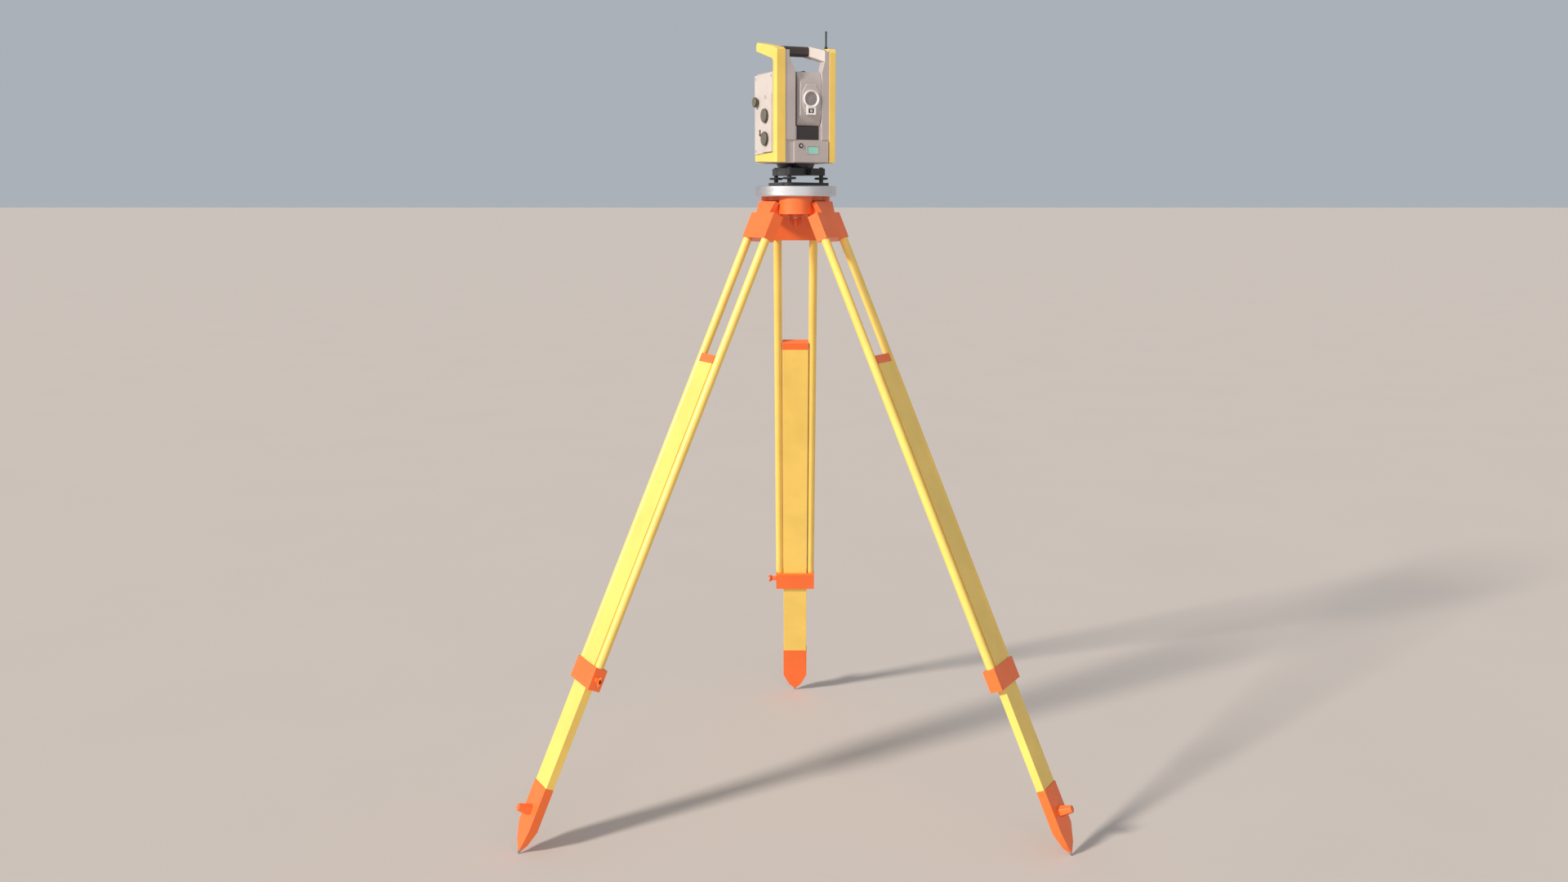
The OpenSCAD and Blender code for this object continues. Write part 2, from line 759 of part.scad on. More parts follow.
// Fixed foot of the total station: a collar on the base with the spindle that it turns on.
module station_socket() {
    low_z = body_z + body_t;
    color(BLACK) translate([0, 0, plate_top_z]) {
        translate([0, 0, low_z]) cylinder(r1 = socket_low_r, r2 = socket_high_r, h = station_z - low_z);
        translate([0, 0, low_z - spindle_root_h])
            cylinder(r = spindle_root_r - glue_gap, h = spindle_root_h + over);
        translate([0, 0, station_z - over]) cylinder(r = spindle_r, h = spindle_h + over);
    }
}

// ---- Total station ----

module station_deck() {
    keys_left = left_inner - 3.9;
    keys_right = right_split - 2.8;
    keys_seat = 3;
    color(TAUPE) on_station() difference() {
        union() {
            block([left_x + left_skin, column_y, station_z], [right_x - right_skin, rear_y, deck_z]);
            block([left_split, front_y + keys_seat, station_z], [right_split, column_y + over, deck_z]);
            block([keys_left, front_y - keys_proud, station_z + 2],
                  [keys_right, front_y + keys_seat + over, deck_z - 2]);
        }
        translate([0, 0, station_z - over]) cylinder(r = spindle_r + run_gap, h = spindle_h + 2 + over);
        display_space(display_seat);
        knob_holes();
        translate([button_x, front_y - keys_proud - over, button_z]) rotate([-90, 0, 0])
            cylinder(r = button_r + side_gap, h = over + button_len - button_proud + button_room);
    }
}

// The display's window, grown by a clearance for the pocket that takes it.
module display_space(grow) {
    window_y = front_y - keys_proud + 0.4;
    low = display_low - [grow, grow];
    high = display_high + [grow, grow];
    mouth_y = grow > 0 ? window_y - over : window_y;
    block([low[0], mouth_y, low[1]], [high[0], front_y + 2, high[1]]);
}

module display_window() {
    color(DISPLAY) on_station() display_space(0);
}

module power_button() {
    dimple_r = 2.2;
    face_y = front_y - keys_proud - button_proud;
    color(BLACK) on_station() translate([button_x, face_y, button_z]) rotate([-90, 0, 0])
        difference() {
            cylinder(r = button_r, h = button_len);
            translate([0, 0, -over]) cylinder(r = dimple_r, h = over + 0.5);
        }
}

module standard_bore() {
    translate([0, 0, trunnion_z]) rotate([0, 90, 0])
        cylinder(r = trunnion_r + run_gap, h = 2 * station_w, center = true);
}

// Room that the telescope needs below it as it swings.
module valley_space() {
    translate([0, 0, trunnion_z]) rotate([0, 90, 0])
        cylinder(r = scope_sweep, h = 2 * station_w, center = true);
}

module left_standard() {
    face_y = front_y + 1;
    knee_x = left_split + neck_w;
    color(TAUPE) on_station() difference() {
        union() {
            block([left_x + left_skin, column_y, deck_z], [left_inner, rear_y, standard_z]);
            block([left_split, face_y, deck_z], [left_inner, column_y + over, standard_z]);
            block([left_inner - over, valley_front_y, deck_z], [valley_left, rear_y, valley_top_z]);
            translate([0, front_y + neck_d, 0]) rotate([90, 0, 0]) linear_extrude(front_y + neck_d - face_y)
                polygon([[left_split, standard_z - over], [left_inner, standard_z - over],
                         [knee_x, left_knee_z], [knee_x, neck_top_z], [left_split, neck_top_z]]);
        }
        intersection() {
            standard_bore();
            block([left_inner - axle_seat, -half_d, deck_z], [0, half_d, standard_z]);
        }
        knob_holes();
    }
}

module right_standard() {
    face_y = front_y + 1;
    knee_x = right_split - right_neck_w;
    color(TAUPE) on_station() difference() {
        union() {
            block([right_inner, column_y, deck_z], [right_x - right_skin, rear_y, standard_z]);
            block([right_inner, face_y, deck_z], [right_split, column_y + over, standard_z]);
            translate([0, front_y + neck_d, 0]) rotate([90, 0, 0]) linear_extrude(front_y + neck_d - face_y)
                polygon([[right_split, standard_z - over], [right_inner, standard_z - over],
                         [knee_x, right_knee_z], [knee_x, neck_top_z], [right_split, neck_top_z]]);
            difference() {
                block([valley_right, valley_front_y, deck_z], [right_inner + over, rear_y, valley_top_z]);
                valley_space();
            }
        }
        intersection() {
            standard_bore();
            block([0, -half_d, deck_z], [right_inner + axle_seat, half_d, standard_z]);
        }
    }
}

module valley_cover() {
    color(BLACK) on_station() difference() {
        block([valley_left, valley_front_y - 0.5, deck_z], [valley_right, rear_y, valley_top_z]);
        valley_space();
    }
}

// Side outline of a yellow frame: a column at the front, an arm over the top and a sill below.
module frame_outline(drop, end_y, end_low_z, end_top_z) {
    tip = 6;
    polygon([[front_y, station_z + 1], [rear_y, station_z + 5], [rear_y, sill_rear_z],
             [column_y, sill_front_z], [column_y, arm_low_z - tip], [column_y + tip, arm_low_z],
             [end_y, end_low_z], [end_y, end_top_z - tip], [end_y - tip, end_top_z],
             [front_y + 10, arm_ridge_z], [front_y, arm_front_z - drop]]);
}

// Prism that bevels a column's outer front edge.
module column_edge(side) {
    depth = 2 * column_bevel;
    translate([0, 0, station_z - over]) linear_extrude(arm_rear_top_z)
        polygon([[side * -over, -over * 2], [side * -column_bevel, 0], [side * over, depth + over * 2],
                 [side * over * 5, -over * 2]]);
}

module left_frame() {
    color(YELLOW) on_station() difference() {
        translate([left_x, 0, 0]) rotate([90, 0, 90]) linear_extrude(left_column_w)
            frame_outline(0, arm_rear_y, arm_rear_low_z, arm_rear_top_z);
        block([left_x + left_skin, column_y, station_z - over],
              [left_split + over, rear_y + over, standard_z]);
        translate([left_x, front_y, 0]) column_edge(-1);
    }
}

module right_frame() {
    color(YELLOW) on_station() difference() {
        translate([right_split, 0, 0]) rotate([90, 0, 90]) linear_extrude(right_column_w)
            frame_outline(right_drop, right_arm_y, right_arm_low_z, right_arm_top_z);
        block([right_split - over, column_y, station_z - over],
              [right_x - right_skin, rear_y + over, standard_z]);
        translate([right_x, front_y, 0]) column_edge(1);
        translate([antenna_x, antenna_y, antenna_low_z]) cylinder(r = antenna_r + glue_gap, h = 60);
    }
}

// Arm that carries the grip's right end back to the neck and the frame.
module handle_bracket() {
    sheet = 0.1;
    neck_x = right_split - right_neck_w;
    neck_rear_y = front_y + neck_d;
    color(PALE) on_station() difference() {
        hull() {
            block([grip_right_x, -grip_rear_y, grip_low_z],
                  [grip_right_x + sheet, grip_rear_y, grip_top_z]);
            block([neck_x - sheet, front_y + 1, right_knee_z], [neck_x, neck_rear_y, arm_front_z]);
            block([right_split - sheet, neck_rear_y, right_knee_z + 10],
                  [right_split, grip_rear_y, arm_ridge_z]);
        }
        block([neck_x, front_y - over, standard_z], [right_split + over, neck_rear_y, neck_top_z]);
        block([neck_x, front_y - over, neck_top_z - over], [right_split + over, front_y + 1, arm_rear_top_z]);
    }
}

// Stems of the side knobs turn in these holes.
module knob_holes() {
    for (spot = [focus_spot, upper_spot, lower_spot]) translate([left_x - 4, spot[0], spot[1]])
        rotate([0, 90, 0]) cylinder(r = knob_stem_r + run_gap, h = knob_stem_len);
}

module side_panel() {
    seam = 1;
    plate_front_y = column_y + 2;
    plate_rear_y = 9;
    plate_top = 207;
    plate_slant = 22;
    color(PALE) on_station() difference() {
        union() {
            translate([left_x - panel_skin, 0, 0]) rotate([90, 0, 90]) linear_extrude(panel_skin + left_skin)
                polygon([[column_y + seam, sill_front_z + seam], [rear_y - seam, sill_rear_z + seam],
                         [rear_y - seam, standard_z - 4], [column_y + seam, standard_z - 3]]);
            translate([left_x - panel_plate, 0, 0]) rotate([90, 0, 90]) linear_extrude(panel_plate)
                polygon([[plate_front_y, sill_front_z + seam], [plate_rear_y, sill_front_z + seam],
                         [plate_rear_y, plate_top - plate_slant], [plate_front_y, plate_top]]);
        }
        knob_holes();
    }
}

module side_knob(spot, r) {
    color(KNOB) on_station() translate([left_x - knob_out, spot[0], spot[1]]) rotate([0, 90, 0]) {
        cylinder(r = r, h = knob_t);
        translate([0, 0, over]) cylinder(r = knob_stem_r, h = knob_stem_len);
    }
}

module focus_knob() { side_knob(focus_spot, focus_knob_r); }
module upper_drive_knob() { side_knob(upper_spot, drive_knob_r); }
module lower_drive_knob() { side_knob(lower_spot, drive_knob_r); }

module handle_grip() {
    corner_y = grip_rear_y - grip_corner;
    color(DARK_GRIP) on_station() translate([grip_left_x, 0, 0]) rotate([90, 0, 90])
        linear_extrude(grip_right_x - grip_left_x) hull()
            for (y = [-corner_y, corner_y], z = [grip_low_z + grip_corner, grip_top_z - grip_corner])
                translate([y, z]) circle(r = grip_corner, $fn = hull_fn);
}

module antenna() {
    whip_r = 2;
    ball_r = 2.4;
    socket_len = 16;
    whip_len = antenna_top_z - ball_r - antenna_low_z - socket_len;
    color(BLACK) on_station() translate([antenna_x, antenna_y, antenna_low_z]) {
        cylinder(r = antenna_r, h = socket_len);
        translate([0, 0, socket_len - over]) cylinder(r = whip_r, h = whip_len + over);
        translate([0, 0, socket_len + whip_len]) sphere(r = ball_r);
    }
}

// ---- Telescope ----

// Window below the objective, grown by a clearance for the pocket that takes it.
module sight_window(grow, front, depth) {
    half_w = 7.2 + grow;
    low_z = -32 - grow;
    high_z = -22 + grow;
    block([sight_line - half_w, front, low_z], [sight_line + half_w, front + depth, high_z]);
}

module telescope_body() {
    eyepiece_r = 10;
    eyepiece_len = 14;
    bevel_d = 7;
    edge_z = half_h - scope_slope;
    axle_len = right_inner - left_inner + 2 * axle_seat - 2;
    color(TAUPE) on_station() translate([0, 0, trunnion_z]) difference() {
        union() {
            translate([scope_left, 0, 0]) rotate([90, 0, 90]) linear_extrude(scope_w)
                polygon([[-half_d, -edge_z], [-scope_corner_y, -half_h], [scope_corner_y, -half_h],
                         [half_d, -edge_z], [half_d, edge_z], [scope_corner_y, half_h],
                         [-scope_corner_y, half_h], [-half_d, edge_z]]);
            translate([left_inner - axle_seat + 1, 0, 0]) rotate([0, 90, 0])
                cylinder(r = trunnion_r, h = axle_len);
            translate([sight_line, half_d - over, 0]) rotate([-90, 0, 0])
                cylinder(r = eyepiece_r, h = eyepiece_len + over);
        }
        translate([sight_line, 8 - half_d, 0]) rotate([90, 0, 0]) cylinder(r = ring_r - ring_w, h = 20);
        translate([sight_line, half_d + 8, 0]) rotate([-90, 0, 0]) cylinder(r = eyepiece_r - 4, h = 20);
        sight_window(0, -half_d - over, 3 + over);
        translate([scope_left, -half_d, -half_h]) linear_extrude(scope_h)
            polygon([[-over, -over], [scope_bevel, -over], [scope_bevel, 0], [0, bevel_d], [-over, bevel_d]]);
    }
}

module objective_ring() {
    proud = 4;
    tail_w = 23.2;
    tail_drop = 36;
    color(PALE) on_station() translate([0, -half_d, trunnion_z]) difference() {
        union() {
            translate([sight_line, 0, 0]) rotate([90, 0, 0]) cylinder(r = ring_r, h = proud);
            block([sight_line - tail_w / 2, 1 - proud, -tail_drop], [sight_line + tail_w / 2, 0, 0]);
        }
        translate([sight_line, over, 0]) rotate([90, 0, 0])
            cylinder(r = ring_r - ring_w, h = proud + 2 * over);
        sight_window(0, -proud - over, proud + 2 * over);
    }
}

module telescope_glass() {
    color(GLASS) on_station() translate([0, 0, trunnion_z]) {
        translate([sight_line, 8 - half_d, 0]) rotate([90, 0, 0])
            cylinder(r = ring_r - ring_w - glue_gap, h = 6);
        sight_window(-glue_gap, 1 - half_d, 2);
        translate([sight_line, half_d + 8, 0]) rotate([-90, 0, 0]) cylinder(r = 6 - glue_gap, h = 3);
    }
}

head_plate();
head_casting();
hinge_bolts();
plate_screws();
arm_pivot_bolt();
centring_arm();
slot_slider();
centring_screw();
centring_knob();
leg_yoke(1);  // leg_yoke_1
leg_yoke(2);  // leg_yoke_2
leg_yoke(3);  // leg_yoke_3
leg_rails(1);  // leg_rails_1
leg_rails(2);  // leg_rails_2
leg_rails(3);  // leg_rails_3
leg_clamp(1);  // leg_clamp_1
leg_clamp(2);  // leg_clamp_2
leg_clamp(3);  // leg_clamp_3
wing_screw(1);  // wing_screw_1
wing_screw(2);  // wing_screw_2
wing_screw(3);  // wing_screw_3
inner_leg(1);  // inner_leg_1
inner_leg(2);  // inner_leg_2
inner_leg(3);  // inner_leg_3
leg_cap(1);  // leg_cap_1
leg_cap(2);  // leg_cap_2
leg_cap(3);  // leg_cap_3
foot_shoe(1);  // foot_shoe_1
foot_shoe(2);  // foot_shoe_2
foot_shoe(3);  // foot_shoe_3
foot_tip(1);  // foot_tip_1
foot_tip(2);  // foot_tip_2
foot_tip(3);  // foot_tip_3
base_plate();
foot_screw(1);  // foot_screw_1
foot_screw(2);  // foot_screw_2
foot_screw(3);  // foot_screw_3
base_body();
base_lock();
level_cup();
level_vial();
station_socket();
station_deck();
left_standard();
right_standard();
left_frame();
right_frame();
side_panel();
handle_grip();
handle_bracket();
antenna();
display_window();
power_button();
focus_knob();
upper_drive_knob();
lower_drive_knob();
valley_cover();
telescope_body();
objective_ring();
telescope_glass();
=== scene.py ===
"""Looks of the surveyor tripod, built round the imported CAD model.

Materials, softened edges, small fittings, floor, light and camera.
"""

import json
import math

import bmesh
import bpy
from mathutils import Matrix, Vector


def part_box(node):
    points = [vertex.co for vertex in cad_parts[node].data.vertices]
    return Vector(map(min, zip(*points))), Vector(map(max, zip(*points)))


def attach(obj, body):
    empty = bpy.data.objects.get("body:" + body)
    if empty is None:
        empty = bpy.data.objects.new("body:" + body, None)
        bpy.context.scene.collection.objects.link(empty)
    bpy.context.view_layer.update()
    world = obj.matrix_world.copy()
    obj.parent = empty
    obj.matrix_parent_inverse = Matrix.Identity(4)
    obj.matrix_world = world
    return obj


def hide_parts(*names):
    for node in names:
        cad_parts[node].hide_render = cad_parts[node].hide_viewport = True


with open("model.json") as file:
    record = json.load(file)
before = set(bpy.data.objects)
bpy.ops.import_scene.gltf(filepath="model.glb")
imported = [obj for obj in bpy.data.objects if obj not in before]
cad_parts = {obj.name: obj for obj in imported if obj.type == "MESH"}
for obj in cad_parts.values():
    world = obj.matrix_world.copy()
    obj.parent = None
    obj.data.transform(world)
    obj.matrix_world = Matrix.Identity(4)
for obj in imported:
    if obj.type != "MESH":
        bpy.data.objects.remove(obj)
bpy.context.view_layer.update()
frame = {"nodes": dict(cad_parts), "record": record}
nodes = frame["nodes"]

MM = 0.001
PLATE_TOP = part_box("head_plate")[1][2]
JOINTS = {joint["name"]: joint for joint in frame["record"]["behaviour"]["joints"]}
LEGS = (1, 2, 3)


def heading(vector):
    """Turn of a level direction about the plumb line, in radians from +X."""
    return math.atan2(vector[1], vector[0])


STATION_TURN = heading(JOINTS["telescope_tilt"]["axis"])

# The total station's own sizes, in millimetres: x to the right, front towards -y, z above the head plate.
LEFT_X, RIGHT_X = -78.0, 76.0
FRONT_Y, REAR_Y = -60.5, 57.5
KEYS_Y = FRONT_Y - 1.0
TRUNNION_Z = 196.0
SCOPE_FRONT = -58.0
SIGHT_X = 11.8
PANEL_X = LEFT_X - 0.8
PANEL_PLATE_X = LEFT_X - 4.0
KNOB_X = LEFT_X - 11.0
DISPLAY_X = (1.2, 27.9)
DISPLAY_Z = (72.8, 88.9)
BUTTON = (-15.0, 90.5)
BUTTON_PROUD = 2.0
# Each side knob's y, z and radius.
KNOBS = {"focus_knob": (40.0, 191.5, 11.3), "upper_drive_knob": (-14.0, 158.5, 15.7),
         "lower_drive_knob": (-14.0, 107.0, 15.7)}
WHEEL_R, WHEEL_T, WHEEL_Z = 15.5, 4.4, 15.5

# Half of the telescope's face, out from the sight line and up from the trunnion.
FACE_CORNERS = ((12, 33), (22, 16), (22, -14), (15, -31))
WINDOW_SIZE = (14.2, 9.8)
WINDOW_DROP = 27.0
SCOPE_TOP = 60.0
PANEL_MARK = (-10.0, 200.0)
PANEL_LEVER = (24.0, 117.0)
PANEL_SCREWS = ((50.0, 80.0), (50.0, 244.0), (-38.0, 246.0))
BEZEL_W, BEZEL_GAP, BEZEL_LAP = 2.0, 0.2, 0.4
KEY_COLUMNS, KEY_ROWS, KEY_PITCH = 4, 3, 10.4
KEY_START = (9.0, 65.0)
KEY_SIZE = (8.0, 7.6)
DOOR_X = RIGHT_X - 4.0
LATCH_GROOVES, GROOVE_PITCH, GROOVE_W = 4, 3.4, 1.6
RIBS, RIB_START, RIB_PITCH, RIB_H = 6, 120.0, 9.0, 3.6
RIB_ENDS = (-66.0, -42.0)
ANTENNA_FOOT = (RIGHT_X - 8.1, -20.0, 311.0)

# Stage and camera, in metres and degrees.
FLOOR_REACH = 900.0
WORLD_STRENGTH = 0.6
FOCAL_LENGTH = 31.66
CAMERA_PLACE = (0.0008, -3.287, 1.452)
CAMERA_DOWN, CAMERA_LEFT = 9.70, 0.485

# ---- Colours, as linear values ----


def srgb(red, green, blue):
    """Linear colour from 0 to 255 display values."""
    def channel(value):
        value /= 255.0
        return value / 12.92 if value <= 0.04045 else ((value + 0.055) / 1.055) ** 2.4
    return (channel(red), channel(green), channel(blue), 1.0)


ORANGE = srgb(250, 112, 44)
YELLOW = srgb(246, 206, 100)
SILVER = srgb(222, 221, 223)
STEEL = srgb(176, 176, 180)
BLACK = srgb(34, 32, 35)
GRIP = srgb(60, 50, 49)
TAUPE = srgb(186, 174, 170)
PALE = srgb(204, 192, 185)
RING = srgb(250, 243, 238)
KNOB = srgb(106, 99, 86)
KNOB_RIM = srgb(70, 64, 56)
DISPLAY = srgb(160, 218, 198)
HOOD = srgb(50, 42, 44)
LENS = srgb(148, 138, 136)
VIAL = srgb(176, 206, 70)
FLOOR = srgb(202, 190, 181)
BACKDROP = srgb(214, 222, 231)

# ---- Node helpers ----


class Shader:
    """A material whose nodes are added one line at a time."""

    def __init__(self, name, roughness, metallic=0.0, **sockets):
        self.material = bpy.data.materials.new(name)
        self.material.use_nodes = True
        self.nodes = self.material.node_tree.nodes
        self.links = self.material.node_tree.links
        self.bsdf = self.nodes["Principled BSDF"]
        self.bsdf.inputs["Roughness"].default_value = roughness
        self.bsdf.inputs["Metallic"].default_value = metallic
        for socket, value in sockets.items():
            self.bsdf.inputs[socket.replace("_", " ")].default_value = value
        self.place = self.nodes.new("ShaderNodeTexCoord").outputs["Object"]

    def stretched(self, scale, turn=(0.0, 0.0, 0.0)):
        """Object coordinates turned to a part's own axes and stretched along them."""
        mapping = self.nodes.new("ShaderNodeMapping")
        mapping.vector_type = "TEXTURE"
        mapping.inputs["Rotation"].default_value = [math.radians(angle) for angle in turn]
        mapping.inputs["Scale"].default_value = scale
        self.links.new(self.place, mapping.inputs["Vector"])
        return mapping.outputs["Vector"]

    def noise(self, scale, detail=3.0, roughness=0.55, vector=None):
        node = self.nodes.new("ShaderNodeTexNoise")
        node.inputs["Scale"].default_value = scale
        node.inputs["Detail"].default_value = detail
        node.inputs["Roughness"].default_value = roughness
        self.links.new(vector or self.place, node.inputs["Vector"])
        return node.outputs["Fac"]

    def ramp(self, value, *stops):
        """Grey or colour ramp through (position, value or colour) stops."""
        node = self.nodes.new("ShaderNodeValToRGB")
        points = node.color_ramp.elements
        while len(points) < len(stops):
            points.new(0.5)
        for point, (position, colour) in zip(points, stops):
            point.position = position
            point.color = colour if isinstance(colour, tuple) else (colour, colour, colour, 1.0)
        self.links.new(value, node.inputs["Fac"])
        return node.outputs["Color"]

    def math(self, operation, first, second):
        node = self.nodes.new("ShaderNodeMath")
        node.operation = operation
        node.use_clamp = True
        for socket, value in zip(node.inputs, (first, second)):
            if isinstance(value, (int, float)):
                socket.default_value = value
            else:
                self.links.new(value, socket)
        return node.outputs["Value"]

    def blend(self, factor, first, second):
        """Mixes two colours by a factor; each may be a colour or a socket."""
        node = self.nodes.new("ShaderNodeMix")
        node.data_type = "RGBA"
        sockets = (node.inputs["Factor"], node.inputs[6], node.inputs[7])
        for socket, value in zip(sockets, (factor, first, second)):
            if isinstance(value, (int, float, tuple)):
                socket.default_value = value
            else:
                self.links.new(value, socket)
        return node.outputs[2]

    def edges(self, radius, grain_scale):
        """1 where an outer edge is worn through, broken up by noise, and 0 elsewhere."""
        bevel = self.nodes.new("ShaderNodeBevel")
        bevel.samples = 6
        bevel.inputs["Radius"].default_value = radius
        geometry = self.nodes.new("ShaderNodeNewGeometry")
        dot = self.nodes.new("ShaderNodeVectorMath")
        dot.operation = "DOT_PRODUCT"
        self.links.new(bevel.outputs["Normal"], dot.inputs[0])
        self.links.new(geometry.outputs["Normal"], dot.inputs[1])
        near = self.ramp(dot.outputs["Value"], (0.80, 1.0), (0.985, 0.0))
        broken = self.ramp(self.noise(grain_scale, 5.0, 0.65), (0.46, 0.0), (0.62, 1.0))
        return self.math("MULTIPLY", near, broken)

    def bump(self, height, strength, distance):
        node = self.nodes.new("ShaderNodeBump")
        node.inputs["Strength"].default_value = strength
        node.inputs["Distance"].default_value = distance
        self.links.new(height, node.inputs["Height"])
        previous = self.bsdf.inputs["Normal"].links
        if previous:
            self.links.new(previous[0].from_socket, node.inputs["Normal"])
        self.links.new(node.outputs["Normal"], self.bsdf.inputs["Normal"])

    def colour(self, value):
        self.links.new(value, self.bsdf.inputs["Base Color"])

    def rough(self, value):
        self.links.new(value, self.bsdf.inputs["Roughness"])

    def metal(self, value):
        self.links.new(value, self.bsdf.inputs["Metallic"])


def scaled(colour, factor):
    """The same hue, darker or lighter."""
    return tuple(min(1.0, channel * factor) for channel in colour[:3]) + (1.0,)


def painted(name, colour, roughness=0.42, grain=0.05, worn=0.55, bare=STEEL, coat=0.15):
    """Sprayed enamel: faint mottling, orange peel, scuffed patches and edges rubbed to bare metal."""
    shader = Shader(name, roughness, Coat_Weight=coat, Coat_Roughness=0.25)
    mottled = shader.blend(shader.ramp(shader.noise(9.0, 4.0), (0.35, 0.0), (0.7, 1.0)),
                           scaled(colour, 0.93), scaled(colour, 1.05))
    dusty = shader.blend(shader.ramp(shader.noise(120.0, 6.0, 0.7), (0.62, 0.0), (0.8, 0.35)),
                         mottled, scaled(colour, 0.72))
    wear = shader.math("MULTIPLY", shader.edges(0.0016, 260.0), worn)
    shader.colour(shader.blend(wear, dusty, bare))
    shader.metal(shader.math("MULTIPLY", wear, 0.8))
    shader.rough(shader.ramp(shader.noise(34.0, 5.0, 0.6),
                             (0.3, roughness - 0.07), (0.75, roughness + 0.12)))
    shader.bump(shader.noise(900.0, 2.0), grain, 0.0004)
    shader.bump(shader.math("SUBTRACT", 1.0, wear), 0.25, 0.0002)
    return shader.material


def moulded(name, colour, roughness=0.55, grain=0.12, grain_scale=1500.0, worn=0.35):
    """Textured plastic or wrinkle paint: fine stipple, slight tone changes, paler rubbed edges."""
    shader = Shader(name, roughness)
    tone = shader.blend(shader.ramp(shader.noise(14.0, 4.0), (0.35, 0.0), (0.7, 1.0)),
                        scaled(colour, 0.92), scaled(colour, 1.05))
    speck = shader.blend(shader.ramp(shader.noise(grain_scale, 2.0), (0.45, 0.0), (0.75, 0.5)),
                         tone, scaled(colour, 0.78))
    wear = shader.math("MULTIPLY", shader.edges(0.0012, 320.0), worn)
    shader.colour(shader.blend(wear, speck, scaled(colour, 1.45)))
    shader.rough(shader.ramp(shader.noise(60.0, 4.0), (0.3, roughness - 0.08), (0.75, roughness + 0.1)))
    shader.bump(shader.noise(grain_scale, 2.0), grain, 0.0003)
    return shader.material


def brushed(name, colour, roughness=0.3, stretch=(1.0, 1.0, 1.0), turn=(0.0, 0.0, 0.0), lines=1200.0):
    """Machined metal: fine lines along one direction, with darker stains and brighter rubbed edges."""
    shader = Shader(name, roughness, 1.0)
    along = shader.stretched(stretch, turn)
    streaks = shader.noise(lines, 3.0, 0.6, along)
    tone = shader.blend(shader.ramp(streaks, (0.3, 0.0), (0.7, 1.0)),
                        scaled(colour, 0.86), scaled(colour, 1.08))
    stained = shader.blend(shader.ramp(shader.noise(26.0, 5.0, 0.65), (0.5, 0.0), (0.8, 0.5)),
                           tone, scaled(colour, 0.72))
    shader.colour(shader.blend(shader.edges(0.0012, 300.0), stained, scaled(colour, 1.25)))
    shader.rough(shader.ramp(streaks, (0.25, roughness - 0.08), (0.75, roughness + 0.14)))
    shader.bump(streaks, 0.08, 0.0002)
    return shader.material


# ---- Materials for the CAD nodes ----

orange = painted("orange_enamel", ORANGE)
yellow = painted("yellow_powder_coat", YELLOW, roughness=0.4)
plate_metal = brushed("turned_aluminium", SILVER, 0.36, (60.0, 60.0, 1.0), lines=2600.0)
steel = brushed("zinc_steel", STEEL, 0.32, (1.0, 1.0, 6.0))
black = moulded("black_anodised", BLACK, 0.38, 0.04, 2200.0, 0.5)
grip = moulded("grip_rubber", GRIP, 0.6, 0.2, 1100.0, 0.2)
housing = moulded("textured_housing", TAUPE, 0.5)
frame_paint = moulded("frame_shell", YELLOW, 0.42, 0.05, 1800.0, 0.25)
panel = moulded("pale_panel", PALE, 0.5, 0.06)
ring_paint = moulded("ring_enamel", RING, 0.4, 0.04, 1800.0, 0.2)
knob = moulded("knob_plastic", KNOB, 0.5, 0.1)
knob_rim = moulded("knob_rubber", KNOB_RIM, 0.62, 0.2, 1300.0, 0.3)
display = moulded("display_glass", DISPLAY, 0.12, 0.0, 900.0, 0.0)
hood = moulded("hood_plastic", HOOD, 0.5, 0.1)
face_paint = moulded("telescope_face_paint", scaled(TAUPE, 1.12), 0.46, 0.08)
lens = moulded("lens_glass", LENS, 0.15, 0.0, 700.0, 0.0)
vial = moulded("vial_liquid", VIAL, 0.08, 0.0, 300.0, 0.0)

SLOT_MATERIALS = {
    "orange": orange, "orange_screw": orange, "yellow_leg": yellow, "plate_metal": plate_metal,
    "steel": steel, "black_grip": grip, "black_metal": black, "vial": vial, "housing": housing,
    "yellow_frame": frame_paint, "pale_panel": panel, "antenna": black, "display": display,
    "knob": knob, "hood": hood, "optics": lens,
}

NODE_MATERIALS = {"objective_ring": ring_paint, "handle_bracket": panel}

for part in frame["record"]["subparts"]:
    node = nodes[part["node"]]
    finish = NODE_MATERIALS.get(part["node"], SLOT_MATERIALS[part["material_slot"]])
    for index in range(len(node.material_slots)):
        node.material_slots[index].material = finish

# ---- Smooth surfaces and softened edges on the CAD nodes ----


def smoothing_group():
    """Node group that merges split corners and shades smooth below a turn of 30 degrees."""
    group = bpy.data.node_groups.new("smooth_by_angle", "GeometryNodeTree")
    for way in ("INPUT", "OUTPUT"):
        group.interface.new_socket("Geometry", in_out=way, socket_type="NodeSocketGeometry")
    add = group.nodes.new
    merge = add("GeometryNodeMergeByDistance")
    merge.inputs["Distance"].default_value = 0.00001
    forget = add("GeometryNodeRemoveAttribute")
    forget.inputs["Name"].default_value = "custom_normal"
    faces, edges = add("GeometryNodeSetShadeSmooth"), add("GeometryNodeSetShadeSmooth")
    faces.domain, edges.domain = "FACE", "EDGE"
    below = add("FunctionNodeCompare")
    below.operation = "LESS_EQUAL"
    below.inputs["B"].default_value = math.radians(30)
    chain = [add("NodeGroupInput"), merge, forget, faces, edges, add("NodeGroupOutput")]
    for first, second in zip(chain, chain[1:]):
        group.links.new(first.outputs["Geometry"], second.inputs["Geometry"])
    group.links.new(add("GeometryNodeInputMeshEdgeAngle").outputs["Unsigned Angle"], below.inputs["A"])
    group.links.new(below.outputs["Result"], edges.inputs["Shade Smooth"])
    return group


smoothing = smoothing_group()


